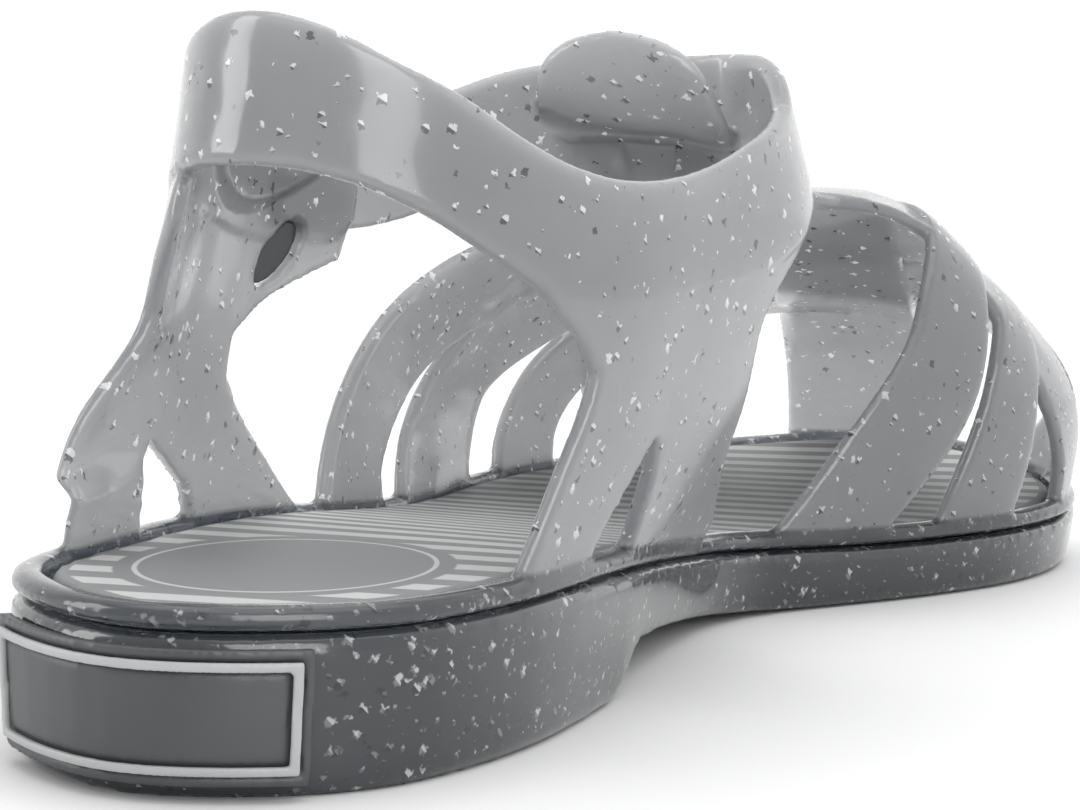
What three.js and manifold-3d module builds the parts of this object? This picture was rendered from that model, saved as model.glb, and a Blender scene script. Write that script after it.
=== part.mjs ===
// Left jelly sandal: sole, cage upper, insole, heel plate with its frame, and the strap stud.
// Millimetres, +Y to the toe, +X to the medial (inner) side, +Z up, floor at z = 0.
import * as THREE from 'three';
import { mergeVertices } from 'three/addons/utils/BufferGeometryUtils.js';
import Module from 'manifold-3d';

const wasm = await Module();
wasm.setup();

// Sole
const soleLength = 245;
const ballWidth = 87;
const heelWall = 15.8;
const foreWall = 8.2;
const toeSpring = 4;
const heelFloor = 66;
const breastRun = 12;
const archHollow = 5;
const ballFloor = 142;
const treadDepth = 1.2;
const treadWidth = 2.6;
const treadMargin = 8;

// Rim, insole and the gap between pieces that touch
const rimWidth = 3.6;
const rimHeight = 2.5;
const insoleThick = 1.9;
const gap = 0.3;

// Upper
const strapThick = 2.2;
const layerStep = 0.6;
const ringHeight = 68;
const ringWidth = 49;
const ringLength = 98;
const instepHeight = 59;
const tongueWidth = 24;
const skinInset = 3.4;
const footing = 1.2;
const columnStep = 8;

// Heel plate, its frame and the strap stud
const plateHalfWidth = 18.8;
const plateLow = 1.6;
const plateHigh = 14.8;
const plateThick = 1.3;
const frameMargin = 1.1;
const frameWidth = 0.95;
const frameRise = 0.5;
const studHoleLong = 11.3;
const studHoleWide = 5.4;
const studTilt = 36;
const studPlace = { turn: -182.3, height: 0.624 };

const degree = Math.PI / 180;

// Sole outline: how far along, and the half widths as shares of the ball width.
const outlineTable = [
  { along: 0.049, lateral: 0.236, medial: 0.226 },
  { along: 0.143, lateral: 0.291, medial: 0.305 },
  { along: 0.265, lateral: 0.324, medial: 0.291 },
  { along: 0.388, lateral: 0.368, medial: 0.237 },
  { along: 0.51, lateral: 0.425, medial: 0.208 },
  { along: 0.633, lateral: 0.485, medial: 0.378 },
  { along: 0.735, lateral: 0.489, medial: 0.492 },
  { along: 0.837, lateral: 0.434, medial: 0.508 },
  { along: 0.931, lateral: 0.272, medial: 0.395 },
];

// Side wall of the sole: inset from the outline and share of the wall height.
const wallTable = [
  { inset: 2.0, share: 0 },
  { inset: 1.15, share: 0.06 },
  { inset: 0.55, share: 0.4 },
  { inset: 0.2, share: 0.8 },
  { inset: 0, share: 0.91 },
  { inset: 0.3, share: 0.97 },
  { inset: 1.0, share: 1 },
];

// Rounded rim of the upper: shares of its width inwards and of its height upwards.
const rimTable = [
  { across: 0.26, up: 0 },
  { across: 0.05, up: 0.22 },
  { across: 0, up: 0.5 },
  { across: 0.12, up: 0.84 },
  { across: 0.36, up: 1 },
  { across: 0.68, up: 1 },
  { across: 0.95, up: 0.76 },
  { across: 1, up: 0 },
];

// Two rings that the quarters, the heel band and the ankle strap lie on.
// Centre and half axes are shares of the ring width (x) and the ring length (y).
const ringTable = {
  middle: { x: 0.061, y: 0.653, lateral: 0.49, medial: 0.53, back: 0.51, front: 0.561, bow: 2.7 },
  top: { x: 0.092, y: 0.673, lateral: 0.482, medial: 0.49, back: 0.459, front: 0.541, bow: 2.5 },
};
const ringLean = 0.075;
const instepFlare = 2.6;
const legSwell = 3.7;

// Ridge of the vamp: along the sole, side shift (share of the ball width), height share.
const ridgeTable = [
  { along: 0.388, shift: 0.057, height: 1.373 },
  { along: 0.429, shift: 0.046, height: 1.29 },
  { along: 0.469, shift: 0.034, height: 1.19 },
  { along: 0.51, shift: 0.046, height: 1.09 },
  { along: 0.559, shift: 0.138, height: 0.975 },
  { along: 0.612, shift: 0.207, height: 0.932 },
  { along: 0.653, shift: 0.207, height: 0.955 },
  { along: 0.686, shift: 0.195, height: 0.928 },
  { along: 0.718, shift: 0.184, height: 0.851 },
  { along: 0.759, shift: 0.167, height: 0.785 },
  { along: 0.804, shift: 0.138, height: 0.712 },
  { along: 0.857, shift: 0.092, height: 0.637 },
  { along: 0.906, shift: 0.046, height: 0.568 },
  { along: 0.947, shift: 0.023, height: 0.483 },
  { along: 0.976, shift: 0.011, height: 0.347 },
  { along: 0.992, shift: 0, height: 0.22 },
];

// How far the vamp swells past the rim on each side, in shares of the ball width.
const swellTable = [
  { along: 0.388, medial: 0.092, lateral: 0.011 },
  { along: 0.49, medial: 0.092, lateral: 0.015 },
  { along: 0.551, medial: 0.071, lateral: 0.02 },
  { along: 0.612, medial: 0.06, lateral: 0.022 },
  { along: 0.653, medial: 0.048, lateral: 0.024 },
  { along: 0.718, medial: 0.037, lateral: 0.03 },
  { along: 0.804, medial: 0.025, lateral: 0.034 },
  { along: 0.878, medial: 0.018, lateral: 0.034 },
  { along: 0.988, medial: 0, lateral: 0 },
];

// Quarters. Turn is in degrees round the ankle: 0 medial, 90 toe side, -90 heel, -180 lateral.
// Height is the share of the way from the rim to the ankle ring.
const medialQuarter = [
  { height: 0, rear: -48, front: 70 },
  { height: 0.08, rear: -45.4, front: 68.5 },
  { height: 0.16, rear: -43.2, front: 60 },
  { height: 0.25, rear: -40.6, front: 52.5 },
  { height: 0.33, rear: -37.2, front: 50.5 },
  { height: 0.39, rear: -35.5, front: 48.2 },
  { height: 0.43, rear: -35.6, front: 46.6 },
  { height: 0.48, rear: -38.2, front: 45 },
  { height: 0.53, rear: -43.4, front: 44 },
  { height: 0.58, rear: -49.4, front: 45.2 },
  { height: 0.62, rear: -54, front: 48.4 },
  { height: 0.67, rear: -58, front: 52.6 },
  { height: 0.72, rear: -60, front: 56.5 },
  { height: 0.78, rear: -60, front: 60.5 },
];
const medialNotch = [
  { height: -0.06, rear: -17, front: 23 },
  { height: 0.05, rear: -15.6, front: 17.5 },
  { height: 0.1, rear: -14.4, front: 14 },
  { height: 0.15, rear: -9.8, front: 11 },
  { height: 0.21, rear: -5.8, front: 8.8 },
  { height: 0.25, rear: -2.8, front: 6.6 },
  { height: 0.285, rear: 1.2, front: 2.8 },
];
const lateralQuarter = [
  { height: 0, rear: -119, front: -231 },
  { height: 0.05, rear: -116.5, front: -220 },
  { height: 0.1, rear: -114.5, front: -209.6 },
  { height: 0.155, rear: -113.3, front: -198.5 },
  { height: 0.227, rear: -112.6, front: -184 },
  { height: 0.3, rear: -113, front: -171.3 },
  { height: 0.35, rear: -114, front: -166 },
  { height: 0.425, rear: -116.5, front: -164.2 },
  { height: 0.47, rear: -118, front: -169 },
  { height: 0.515, rear: -117.3, front: -178.6 },
  { height: 0.55, rear: -116.4, front: -190.2 },
  { height: 0.577, rear: -115, front: -202.2 },
  { height: 0.61, rear: -112.5, front: -211 },
  { height: 0.66, rear: -109, front: -213.2 },
  { height: 0.72, rear: -105, front: -212.6 },
  { height: 0.79, rear: -104.5, front: -210 },
];
const lateralNotch = [
  { height: -0.06, rear: -139.5, front: -165.5 },
  { height: 0.05, rear: -137.5, front: -163 },
  { height: 0.08, rear: -136.8, front: -160.5 },
  { height: 0.12, rear: -134.8, front: -153.5 },
  { height: 0.165, rear: -134.6, front: -145.5 },
  { height: 0.2, rear: -133.9, front: -138 },
  { height: 0.232, rear: -134.2, front: -134.9 },
];

// Band round the ankle: heel band, the rim of both quarters and the ankle strap, which ends
// outside the lateral tab. Lift is in strap thicknesses off the last.
const ankleBand = [
  { turn: -213, low: 0.7, high: 0.78, lift: 0 },
  { turn: -210, low: 0.67, high: 0.825, lift: 0 },
  { turn: -203, low: 0.65, high: 0.855, lift: 0 },
  { turn: -185, low: 0.645, high: 0.885, lift: 0 },
  { turn: -170, low: 0.65, high: 0.905, lift: 0 },
  { turn: -155, low: 0.67, high: 0.935, lift: 0 },
  { turn: -140, low: 0.7, high: 0.975, lift: 0 },
  { turn: -125, low: 0.735, high: 1.02, lift: 0 },
  { turn: -114, low: 0.775, high: 1.062, lift: 0 },
  { turn: -106.6, low: 0.805, high: 1.1, lift: 0 },
  { turn: -101.3, low: 0.822, high: 1.125, lift: 0 },
  { turn: -94.8, low: 0.829, high: 1.133, lift: 0 },
  { turn: -88.3, low: 0.834, high: 1.123, lift: 0 },
  { turn: -82.1, low: 0.815, high: 1.089, lift: 0 },
  { turn: -76.4, low: 0.79, high: 1.036, lift: 0 },
  { turn: -68.5, low: 0.735, high: 0.988, lift: 0 },
  { turn: -61, low: 0.67, high: 0.921, lift: 0 },
  { turn: -52, low: 0.6, high: 0.866, lift: 0 },
  { turn: -43, low: 0.59, high: 0.835, lift: 0 },
  { turn: -28, low: 0.59, high: 0.821, lift: 0 },
  { turn: -5, low: 0.59, high: 0.835, lift: 0 },
  { turn: 15, low: 0.6, high: 0.86, lift: 0 },
  { turn: 30, low: 0.62, high: 0.898, lift: 0 },
  { turn: 40, low: 0.64, high: 0.926, lift: 0 },
  { turn: 49, low: 0.68, high: 0.954, lift: 0 },
  { turn: 57, low: 0.74, high: 0.986, lift: 0 },
  { turn: 62, low: 0.77, high: 1.012, lift: 0.05 },
  { turn: 66.5, low: 0.785, high: 1.052, lift: 0.1 },
  { turn: 71, low: 0.79, high: 1.09, lift: 0.18 },
  { turn: 78, low: 0.8, high: 1.12, lift: 0.35 },
  { turn: 90, low: 0.8, high: 1.115, lift: 0.55 },
  { turn: 108, low: 0.785, high: 1.085, lift: 0.6 },
  { turn: 120.6, low: 0.76, high: 1.02, lift: 0.6 },
  { turn: 127, low: 0.715, high: 0.985, lift: 0.85 },
  { turn: 134, low: 0.686, high: 0.955, lift: 1.12 },
  { turn: 141, low: 0.672, high: 0.935, lift: 1.3 },
  { turn: 149, low: 0.668, high: 0.92, lift: 1.3 },
  { turn: 160, low: 0.668, high: 0.9, lift: 1.3 },
  { turn: 172, low: 0.672, high: 0.88, lift: 1.3 },
  { turn: 182, low: 0.69, high: 0.86, lift: 1.3 },
  { turn: 188, low: 0.735, high: 0.82, lift: 1.3 },
];

// Rounded lobe inside the lateral quarter, under the heel band.
const bandLobe = [
  { turn: -200, low: 0.835, high: 0.86, lift: -0.55 },
  { turn: -194.7, low: 0.812, high: 0.87, lift: -0.55 },
  { turn: -185.8, low: 0.782, high: 0.875, lift: -0.55 },
  { turn: -178.6, low: 0.759, high: 0.88, lift: -0.55 },
  { turn: -170.4, low: 0.738, high: 0.885, lift: -0.55 },
  { turn: -163, low: 0.724, high: 0.89, lift: -0.55 },
  { turn: -156, low: 0.719, high: 0.89, lift: -0.55 },
  { turn: -149.6, low: 0.727, high: 0.9, lift: -0.55 },
  { turn: -143.7, low: 0.749, high: 0.9, lift: -0.55 },
  { turn: -138.4, low: 0.787, high: 0.905, lift: -0.55 },
  { turn: -134.5, low: 0.84, high: 0.91, lift: -0.55 },
];

// Vamp straps. Turn is in degrees over the vamp: -90 lateral, 0 ridge, 90 medial.
const vampStraps = [
  {
    layer: 0,
    rows: [
      { turn: -100, rear: 0.38, front: 0.484 },
      { turn: -91, rear: 0.393, front: 0.488 },
      { turn: -85, rear: 0.408, front: 0.509 },
      { turn: -78.5, rear: 0.432, front: 0.537 },
      { turn: -71, rear: 0.461, front: 0.566 },
      { turn: -64.5, rear: 0.487, front: 0.614 },
      { turn: -57, rear: 0.515, front: 0.676 },
      { turn: -48.5, rear: 0.536, front: 0.706 },
      { turn: -28, rear: 0.58, front: 0.722 },
      { turn: 0, rear: 0.6, front: 0.735 },
      { turn: 22, rear: 0.625, front: 0.76 },
      { turn: 45, rear: 0.68, front: 0.79 },
      { turn: 68, rear: 0.742, front: 0.824 },
      { turn: 86, rear: 0.785, front: 0.853 },
      { turn: 100, rear: 0.8, front: 0.868 },
    ],
  },
  {
    layer: 0.5,
    rows: [
      { turn: -100, rear: 0.524, front: 0.657 },
      { turn: -91, rear: 0.535, front: 0.674 },
      { turn: -84, rear: 0.549, front: 0.687 },
      { turn: -78, rear: 0.573, front: 0.7 },
      { turn: -69, rear: 0.6, front: 0.737 },
      { turn: -60.5, rear: 0.635, front: 0.76 },
      { turn: -45, rear: 0.69, front: 0.79 },
      { turn: -28, rear: 0.72, front: 0.81 },
      { turn: 0, rear: 0.75, front: 0.84 },
      { turn: 30, rear: 0.79, front: 0.868 },
      { turn: 60, rear: 0.838, front: 0.896 },
      { turn: 84, rear: 0.882, front: 0.925 },
      { turn: 100, rear: 0.9, front: 0.94 },
    ],
  },
  {
    layer: 0,
    rows: [
      { turn: -100, rear: 0.7, front: 0.775 },
      { turn: -90, rear: 0.714, front: 0.787 },
      { turn: -80.5, rear: 0.735, front: 0.808 },
      { turn: -61, rear: 0.762, front: 0.84 },
      { turn: -42, rear: 0.8, front: 0.862 },
      { turn: -24, rear: 0.83, front: 0.866 },
      { turn: -4, rear: 0.848, front: 0.876 },
    ],
  },
  {
    layer: 1,
    rows: [
      { turn: 100, rear: 0.54, front: 0.617 },
      { turn: 88.4, rear: 0.556, front: 0.636 },
      { turn: 78.8, rear: 0.57, front: 0.659 },
      { turn: 68.5, rear: 0.594, front: 0.675 },
      { turn: 59, rear: 0.616, front: 0.685 },
      { turn: 47, rear: 0.634, front: 0.697 },
      { turn: 37, rear: 0.66, front: 0.714 },
      { turn: 18, rear: 0.685, front: 0.745 },
      { turn: 0, rear: 0.702, front: 0.768 },
      { turn: -30, rear: 0.74, front: 0.806 },
      { turn: -60, rear: 0.79, front: 0.852 },
      { turn: -85, rear: 0.83, front: 0.884 },
      { turn: -100, rear: 0.845, front: 0.898 },
    ],
  },
  {
    layer: 0.5,
    rows: [
      { turn: 100, rear: 0.66, front: 0.726 },
      { turn: 87.5, rear: 0.665, front: 0.731 },
      { turn: 78, rear: 0.674, front: 0.732 },
      { turn: 67, rear: 0.686, front: 0.737 },
      { turn: 57, rear: 0.7, front: 0.745 },
      { turn: 42, rear: 0.722, front: 0.77 },
      { turn: 22, rear: 0.752, front: 0.8 },
      { turn: 4, rear: 0.776, front: 0.824 },
      { turn: -10, rear: 0.79, front: 0.838 },
    ],
  },
];

// Centre tongue, from the round end inside the ankle strap down to the toe. Along and
// height follow its middle; shift and half are its side place and half width. Bow is its
// drop to each side and plan its sweep back to each side, per square millimetre. Skin is
// how far it keeps to the inner skin of the vamp.
const tongueTable = [
  { along: 0.4241, height: 1.295, shift: 0.055, half: 0.05, bow: 0.006, plan: 0.016, skin: 0 },
  { along: 0.4257, height: 1.284, shift: 0.054, half: 0.2, bow: 0.006, plan: 0.016, skin: 0 },
  { along: 0.429, height: 1.268, shift: 0.055, half: 0.304, bow: 0.006, plan: 0.016, skin: 0 },
  { along: 0.4367, height: 1.237, shift: 0.057, half: 0.427, bow: 0.006, plan: 0.016, skin: 0 },
  { along: 0.4461, height: 1.198, shift: 0.056, half: 0.483, bow: 0.006, plan: 0.016, skin: 0 },
  { along: 0.458, height: 1.154, shift: 0.055, half: 0.515, bow: 0.006, plan: 0.016, skin: 0 },
  { along: 0.4735, height: 1.11, shift: 0.052, half: 0.527, bow: 0.007, plan: 0.015, skin: 0 },
  { along: 0.4959, height: 1.088, shift: 0.045, half: 0.52, bow: 0.01, plan: 0.011, skin: 0 },
  { along: 0.5224, height: 1.068, shift: 0.04, half: 0.5, bow: 0.014, plan: 0.005, skin: 0 },
  { along: 0.5592, height: 1.022, shift: 0.06, half: 0.48, bow: 0.016, plan: 0, skin: 0.2 },
  { along: 0.6122, height: 0.94, shift: 0.115, half: 0.47, bow: 0.014, plan: 0, skin: 1 },
  { along: 0.6857, height: 0.888, shift: 0.13, half: 0.47, bow: 0.014, plan: 0, skin: 1 },
  { along: 0.7755, height: 0.75, shift: 0.092, half: 0.48, bow: 0.012, plan: 0, skin: 1 },
  { along: 0.8367, height: 0.672, shift: 0.058, half: 0.49, bow: 0.01, plan: 0, skin: 1 },
  { along: 0.8776, height: 0.645, shift: 0.03, half: 0.5, bow: 0.008, plan: 0, skin: 0.1 },
  { along: 0.9224, height: 0.582, shift: 0, half: 0.51, bow: 0.007, plan: 0.007, skin: 0 },
  { along: 0.951, height: 0.508, shift: -0.015, half: 0.51, bow: 0.004, plan: 0.013, skin: 0 },
  { along: 0.9694, height: 0.415, shift: -0.02, half: 0.51, bow: 0.001, plan: 0.018, skin: 0 },
  { along: 0.9796, height: 0.305, shift: -0.02, half: 0.51, bow: 0, plan: 0.022, skin: 0 },
  { along: 0.982, height: 0.21, shift: -0.02, half: 0.51, bow: 0, plan: 0.022, skin: 0 },
];

function clamp(value, least, most) {
  return Math.min(most, Math.max(least, value));
}

function smooth(share) {
  const s = clamp(share, 0, 1);
  return s * s * (3 - 2 * s);
}

// Smooth value of a table column at a place between its rows; straight on past the ends.
function between(rows, key, column, place) {
  const last = rows.length - 1;
  const rise = rows[last][key] > rows[0][key] ? 1 : -1;
  let i = 0;
  while (i < last - 1 && (place - rows[i + 1][key]) * rise > 0) i += 1;
  const slope = (k) => {
    const a = rows[Math.max(0, k - 1)];
    const b = rows[Math.min(last, k + 1)];
    return (b[column] - a[column]) / (b[key] - a[key]);
  };
  const step = rows[i + 1][key] - rows[i][key];
  const t = (place - rows[i][key]) / step;
  if (t < 0) return rows[0][column] + slope(0) * (place - rows[0][key]);
  if (t > 1) return rows[last][column] + slope(last) * (place - rows[last][key]);
  const a = rows[i][column];
  const b = rows[i + 1][column];
  return (
    a * (1 + 2 * t) * (1 - t) ** 2 +
    slope(i) * step * t * (1 - t) ** 2 +
    b * t * t * (3 - 2 * t) +
    slope(i + 1) * step * t * t * (t - 1)
  );
}

// Outline of the sole as a closed curve, split at the heel tip and the toe tip.
function makeOutline() {
  const medial = outlineTable.map(
    (row) => new THREE.Vector3(row.medial * ballWidth, row.along * soleLength, 0)
  );
  const lateral = outlineTable.map(
    (row) => new THREE.Vector3(-row.lateral * ballWidth, row.along * soleLength, 0)
  );
  const heel = new THREE.Vector3(0, 0, 0);
  const toe = new THREE.Vector3(0.046 * ballWidth, soleLength, 0);
  const points = [heel, ...medial, toe, ...lateral.reverse()];
  const curve = new THREE.CatmullRomCurve3(points, true, 'centripetal');
  const samples = [];
  const count = 1440;
  for (let i = 0; i < count; i += 1) {
    const point = curve.getPoint(i / count);
    const tangent = curve.getTangent(i / count);
    samples.push({ x: point.x, y: point.y, nx: tangent.y, ny: -tangent.x });
  }
  let low = 0;
  let high = 0;
  samples.forEach((s, i) => {
    if (s.y < samples[low].y) low = i;
    if (s.y > samples[high].y) high = i;
  });
  const walk = (from, to) => {
    const path = [];
    for (let i = from; i !== to; i = (i + 1) % count) path.push(samples[i]);
    path.push(samples[to]);
    return path;
  };
  return { medial: walk(low, high), lateral: walk(high, low).reverse() };
}
const outline = makeOutline();
const heelTip = outline.medial[0].y;
const toeTip = outline.medial[outline.medial.length - 1].y;

// Point of one side of the outline at a distance along the sole, moved in by an inset.
function edge(side, along, inset = 0) {
  const path = outline[side];
  const y = clamp(along, heelTip, toeTip);
  let low = 0;
  let high = path.length - 1;
  while (high - low > 1) {
    const half = (low + high) >> 1;
    if (path[half].y > y) high = half;
    else low = half;
  }
  const a = path[low];
  const b = path[high];
  const t = b.y === a.y ? 0 : (y - a.y) / (b.y - a.y);
  const mix = (key) => a[key] + (b[key] - a[key]) * t;
  return { x: mix('x') - mix('nx') * inset, y: mix('y') - mix('ny') * inset };
}

// Half width of the inset outline at a distance along the sole, signed by the side.
function edgeX(side, along, inset) {
  let place = clamp(along, heelTip, toeTip);
  for (let i = 0; i < 8; i += 1) {
    place = clamp(place + (along - edge(side, place, inset).y) * 0.9, heelTip, toeTip);
  }
  return edge(side, place, inset).x;
}

// Top of the side wall, and so of the sole's upper face.
function soleTop(y) {
  const share = y / soleLength;
  const toe = clamp((share - 0.776) / 0.224, 0, 1) ** 2 * toeSpring;
  return heelWall + (foreWall - heelWall) * smooth((share - 0.184) / 0.43) + toe;
}

// Underside: flat heel, breast, hollow arch, flat ball and sprung toe.
function soleBottom(y, across) {
  const toe = clamp((y - 0.776 * soleLength) / (0.224 * soleLength), 0, 1) ** 2 * toeSpring;
  const breast = heelFloor + 6 * (1 - across * across);
  const up = smooth((y - breast) / breastRun);
  const arch = archHollow * up * (1 - smooth((y - breast - 10) / (ballFloor - breast - 10)));
  return arch + toe;
}

// Places along the sole where its rungs lie, closer at the tips and at the heel breast.
function rungs() {
  const places = [];
  const count = 31;
  for (let i = 0; i <= count; i += 1) {
    places.push(heelTip + ((toeTip - heelTip) * (1 - Math.cos((Math.PI * i) / count))) / 2);
  }
  for (let i = 0; i <= 6; i += 1) places.push(heelFloor + (i * (breastRun + 6)) / 6);
  return places.sort((a, b) => a - b).filter((y, i, all) => i === 0 || y - all[i - 1] > 0.3);
}
const rungPlaces = rungs();

// Solid from a point list and triangles, turned face out.
function solidOf(points, faces) {
  const geometry = new THREE.BufferGeometry();
  const flat = points.flatMap((p) => [p.x, p.y, p.z]);
  geometry.setAttribute('position', new THREE.Float32BufferAttribute(flat, 3));
  geometry.setIndex(faces.flat());
  const merged = mergeVertices(geometry, 1e-4);
  const position = merged.attributes.position.array;
  const index = Array.from(merged.index.array);
  const kept = [];
  let volume = 0;
  for (let i = 0; i < index.length; i += 3) {
    const [a, b, c] = [index[i], index[i + 1], index[i + 2]];
    if (a === b || b === c || c === a) continue;
    kept.push(a, b, c);
    const [pa, pb, pc] = [a, b, c].map((k) => new THREE.Vector3().fromArray(position, 3 * k));
    volume += pa.dot(pb.cross(pc));
  }
  if (volume < 0) {
    for (let i = 0; i < kept.length; i += 3) {
      [kept[i + 1], kept[i + 2]] = [kept[i + 2], kept[i + 1]];
    }
  }
  return new wasm.Manifold(
    new wasm.Mesh({
      numProp: 3,
      vertProperties: new Float32Array(position),
      triVerts: new Uint32Array(kept),
    })
  );
}

// Closed slab from a grid of point pairs: at(i, j) gives the two skins' points.
function slab(rowCount, columnCount, at) {
  const points = [];
  const faces = [];
  const pair = [];
  for (let i = 0; i < rowCount; i += 1) {
    pair.push([]);
    for (let j = 0; j < columnCount; j += 1) {
      const [inner, outer] = at(i, j);
      pair[i].push([points.push(inner) - 1, points.push(outer) - 1]);
    }
  }
  const quad = (a, b, c, d) => {
    const across = points[a].distanceTo(points[c]) > points[b].distanceTo(points[d]);
    if (across) faces.push([a, b, d], [b, c, d]);
    else faces.push([a, b, c], [a, c, d]);
  };
  for (let i = 0; i + 1 < rowCount; i += 1) {
    for (let j = 0; j + 1 < columnCount; j += 1) {
      const [a, b, c, d] = [pair[i][j], pair[i + 1][j], pair[i + 1][j + 1], pair[i][j + 1]];
      quad(a[1], b[1], c[1], d[1]);
      quad(d[0], c[0], b[0], a[0]);
    }
  }
  const wall = (cells) => {
    for (let k = 0; k + 1 < cells.length; k += 1) {
      quad(cells[k][0], cells[k + 1][0], cells[k + 1][1], cells[k][1]);
    }
  };
  const lastRow = rowCount - 1;
  const lastColumn = columnCount - 1;
  wall(pair.map((row) => row[0]));
  wall(pair[lastRow]);
  wall(pair.map((row) => row[lastColumn]).reverse());
  wall([...pair[0]].reverse());
  return solidOf(points, faces);
}

// Solid swept round the sole outline from a profile of insets and heights; a height is
// given by up(row, x, y). Closed by two ladders unless it is a ring.
function roundSole(profile, up, ring = false, columns = 5) {
  const points = [];
  const faces = [];
  const rungCount = rungPlaces.length;
  const loopLength = 2 * rungCount;
  const loops = profile.map((row) => {
    const loop = [];
    for (let i = 0; i < loopLength; i += 1) {
      const side = i < rungCount ? 'medial' : 'lateral';
      const place = rungPlaces[i < rungCount ? i : loopLength - 1 - i];
      const p = edge(side, place, row.inset);
      loop.push(points.push(new THREE.Vector3(p.x, p.y, up(row, p.x, p.y))) - 1);
    }
    return loop;
  });
  const bands = ring ? loops.length : loops.length - 1;
  for (let k = 0; k < bands; k += 1) {
    const a = loops[k];
    const b = loops[(k + 1) % loops.length];
    for (let i = 0; i < loopLength; i += 1) {
      const n = (i + 1) % loopLength;
      faces.push([a[i], a[n], b[n]], [a[i], b[n], b[i]]);
    }
  }
  if (ring) return solidOf(points, faces);
  const ladder = (loop, row, over) => {
    let before = null;
    for (let i = 0; i < rungCount; i += 1) {
      const start = loop[i];
      const end = loop[loopLength - 1 - i];
      const rung = [start];
      for (let c = 1; c < columns; c += 1) {
        const p = points[start].clone().lerp(points[end], c / columns);
        p.z = up(row, p.x, p.y);
        rung.push(points.push(p) - 1);
      }
      rung.push(end);
      if (before) {
        for (let c = 0; c < columns; c += 1) {
          const [a, b, d, e] = [before[c], rung[c], rung[c + 1], before[c + 1]];
          if (over) faces.push([a, b, d], [a, d, e]);
          else faces.push([a, d, b], [a, e, d]);
        }
      }
      before = rung;
    }
  };
  ladder(loops[0], profile[0], false);
  ladder(loops[loops.length - 1], profile[profile.length - 1], true);
  return solidOf(points, faces);
}

// Oval with its own half axis in each quarter turn and a fuller bow at the front.
function ovalPoint(oval, turn) {
  const c = Math.cos(turn * degree);
  const s = Math.sin(turn * degree);
  const wide = c < 0 ? oval.lateral : oval.medial;
  const long = s < 0 ? oval.back : oval.front;
  const power = s < 0 ? oval.backBow : oval.bow;
  const reach = 1 / ((Math.abs(c) / wide) ** power + (Math.abs(s) / long) ** power) ** (1 / power);
  return { x: reach * c, y: reach * s };
}

// Ring of the ankle last at one of its two heights.
function ringPoint(ring, turn) {
  const oval = {
    lateral: ring.lateral * ringWidth,
    medial: ring.medial * ringWidth,
    back: ring.back * ringLength,
    front: ring.front * ringLength,
    backBow: 2,
    bow: ring.bow,
  };
  const p = ovalPoint(oval, turn);
  const x = ring.x * ringWidth + p.x + ringLean * Math.max(0, p.y);
  return { x, y: ring.y * ringLength + p.y };
}

// Foot of the ankle last, on the rim.
function footPoint(turn) {
  const middle = 0.245 * soleLength;
  const oval = {
    lateral: 0.49 * ringWidth,
    medial: 0.49 * ringWidth,
    back: middle - heelTip - skinInset,
    front: middle,
    backBow: 2.2,
    bow: 2.2,
  };
  const p = ovalPoint(oval, turn);
  const y = middle + p.y;
  const side = p.x >= 0 ? 'medial' : 'lateral';
  const s = Math.sin(turn * degree);
  const free = s > 0 ? smooth((s - 0.8) / 0.2) : 0;
  const x = edgeX(side, Math.max(4, y), skinInset);
  return { x: x * (1 - free) + p.x * free, y };
}

// Inner skin of the quarters, by turn and height share.
function anklePoint(turn, height) {
  const foot = footPoint(turn);
  const middle = ringPoint(ringTable.middle, turn);
  const top = ringPoint(ringTable.top, turn);
  const w0 = 2 * (height - 0.5) * (height - 1);
  const w1 = -4 * height * (height - 1);
  const w2 = 2 * height * (height - 0.5);
  const flare =
    instepFlare *
    Math.exp(-(((turn - 62) / 26) ** 2)) *
    Math.exp(-(((height - 0.76) / 0.14) ** 2));
  const around = turn > 0 ? turn - 360 : turn;
  const leg =
    legSwell *
    Math.exp(-(((around + 116) / 14) ** 2)) *
    smooth((height - 0.14) / 0.08) *
    (1 - smooth((height - 0.2) / 0.3));
  const low = soleTop(foot.y) + footing;
  return new THREE.Vector3(
    foot.x * w0 + middle.x * w1 + top.x * w2 + flare * Math.cos(turn * degree) - leg * 0.92,
    foot.y * w0 + middle.y * w1 + top.y * w2 + flare * Math.sin(turn * degree) - leg * 0.4,
    low + height * (ringHeight - low)
  );
}

// Inner skin of the vamp, by turn over it and distance along the sole.
function vampPoint(turn, along) {
  const s = Math.sin(turn * degree);
  const c = Math.cos(turn * degree);
  const share = along / soleLength;
  const side = s >= 0 ? 'medial' : 'lateral';
  const power = s >= 0 ? 2.6 : 2.2;
  const ridge = between(ridgeTable, 'along', 'shift', share) * ballWidth;
  const crest = between(ridgeTable, 'along', 'height', share) * instepHeight;
  const low = soleTop(along) + footing;
  const waist = low + 7;
  const foot = edgeX(side, clamp(along, 4, soleLength - 4), skinInset);
  const wide = Math.max(2, Math.abs(foot - ridge));
  const tall = c >= 0 ? Math.max(3, crest - waist) : 40;
  const fit = 1 / (Math.abs(s) ** power + Math.abs(c) ** power) ** (1 / power);
  const z = waist + tall * c * fit;
  const full = Math.sin((clamp((z - low) / 22, 0, 1) * Math.PI) / 2);
  const swell = between(swellTable, 'along', side, share) * ballWidth;
  return new THREE.Vector3(ridge + s * fit * (wide + swell * full), along, z);
}

// The same skin by its side position instead of its turn.
function vampAt(x, along) {
  let low = -80;
  let high = 80;
  for (let i = 0; i < 30; i += 1) {
    const half = (low + high) / 2;
    if (vampPoint(half, along).x < x) low = half;
    else high = half;
  }
  return vampPoint((low + high) / 2, along);
}

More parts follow.
